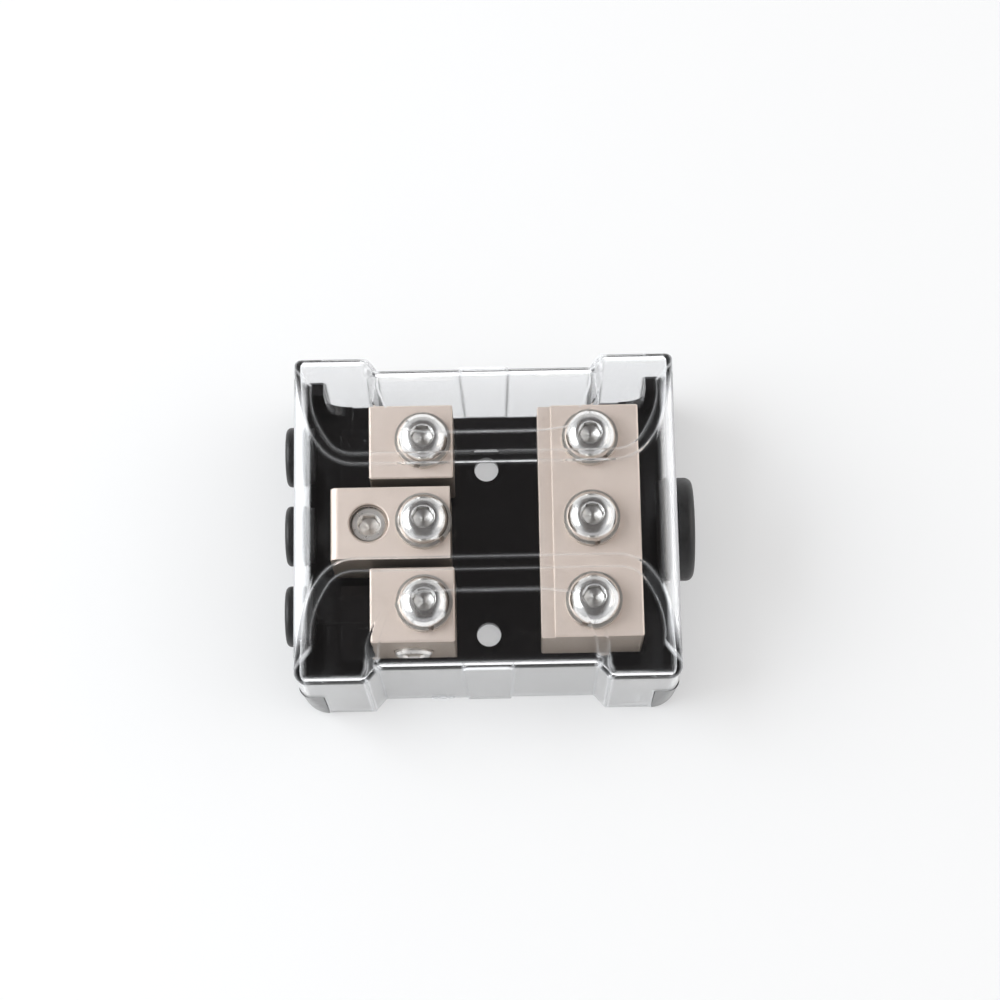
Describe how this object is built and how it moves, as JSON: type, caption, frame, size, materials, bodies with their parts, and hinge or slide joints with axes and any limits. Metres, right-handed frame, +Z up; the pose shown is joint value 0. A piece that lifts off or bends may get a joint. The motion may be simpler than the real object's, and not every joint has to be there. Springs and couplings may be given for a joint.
{
  "type": "power distribution block",
  "caption": "Fused power distribution block: black base, clear lift-off cover, nickel terminals with button-head fuse bolts, rubber cable grommets in both end walls.",
  "frame": {"origin": "middle of the base's flat underside", "axes": "+X from the three outputs to the one input, +Y to the back, +Z up through the clear cover"},
  "size_m": [0.0848, 0.0684, 0.04],
  "materials": {
    "base_plastic": "glossy black moulding",
    "cover_plastic": "clear polycarbonate",
    "terminal_metal": "satin nickel plate",
    "bolt_steel": "bright nickel plate",
    "washer_steel": "plated spring steel",
    "set_screw_steel": "plated steel",
    "hold_screw_steel": "zinc plate",
    "grommet_rubber": "soft black rubber"
  },
  "bodies": {
    "housing": {"base": "base_plastic", "input_bar": "terminal_metal", "grommet_input": "grommet_rubber", "hold_screw_input_front": "hold_screw_steel", "hold_screw_input_back": "hold_screw_steel", "output_block_front": "terminal_metal", "grommet_output_front": "grommet_rubber", "hold_screw_output_front": "hold_screw_steel", "output_block_middle": "terminal_metal", "grommet_output_middle": "grommet_rubber", "hold_screw_output_middle": "hold_screw_steel", "output_block_back": "terminal_metal", "grommet_output_back": "grommet_rubber", "hold_screw_output_back": "hold_screw_steel"},
    "lid": {"cover": "cover_plastic"},
    "bolt_output_front": {"fuse_bolt_output_front": "bolt_steel", "lock_washer_output_front": "washer_steel"},
    "bolt_output_middle": {"fuse_bolt_output_middle": "bolt_steel", "lock_washer_output_middle": "washer_steel"},
    "bolt_output_back": {"fuse_bolt_output_back": "bolt_steel", "lock_washer_output_back": "washer_steel"},
    "bolt_input_front": {"fuse_bolt_input_front": "bolt_steel", "lock_washer_input_front": "washer_steel"},
    "bolt_input_middle": {"fuse_bolt_input_middle": "bolt_steel", "lock_washer_input_middle": "washer_steel"},
    "bolt_input_back": {"fuse_bolt_input_back": "bolt_steel", "lock_washer_input_back": "washer_steel"},
    "clamp_front": {"set_screw_front": "set_screw_steel"},
    "clamp_middle": {"set_screw_middle": "set_screw_steel"},
    "clamp_back": {"set_screw_back": "set_screw_steel"},
    "clamp_input": {"set_screw_input": "set_screw_steel"}
  },
  "joints": [
    {"name": "lid_lift", "type": "slide", "parent": "housing", "child": "lid", "axis": [0, 0, 1], "range_m": [0, 0.045]},
    {"name": "bolt_output_front_loosen", "type": "slide", "parent": "housing", "child": "bolt_output_front", "axis": [0, 0, 1], "range_m": [0, 0.002]},
    {"name": "bolt_output_middle_loosen", "type": "slide", "parent": "housing", "child": "bolt_output_middle", "axis": [0, 0, 1], "range_m": [0, 0.002]},
    {"name": "bolt_output_back_loosen", "type": "slide", "parent": "housing", "child": "bolt_output_back", "axis": [0, 0, 1], "range_m": [0, 0.002]},
    {"name": "bolt_input_front_loosen", "type": "slide", "parent": "housing", "child": "bolt_input_front", "axis": [0, 0, 1], "range_m": [0, 0.002]},
    {"name": "bolt_input_middle_loosen", "type": "slide", "parent": "housing", "child": "bolt_input_middle", "axis": [0, 0, 1], "range_m": [0, 0.002]},
    {"name": "bolt_input_back_loosen", "type": "slide", "parent": "housing", "child": "bolt_input_back", "axis": [0, 0, 1], "range_m": [0, 0.002]},
    {"name": "clamp_front_tighten", "type": "slide", "parent": "housing", "child": "clamp_front", "axis": [0, 1, 0], "range_m": [0, 0.003]},
    {"name": "clamp_middle_tighten", "type": "slide", "parent": "housing", "child": "clamp_middle", "axis": [0, 0, -1], "range_m": [0, 0.003]},
    {"name": "clamp_back_tighten", "type": "slide", "parent": "housing", "child": "clamp_back", "axis": [0, -1, 0], "range_m": [0, 0.003]},
    {"name": "clamp_input_tighten", "type": "slide", "parent": "housing", "child": "clamp_input", "axis": [0, 0, 1], "range_m": [0, 0.004]}
  ]
}
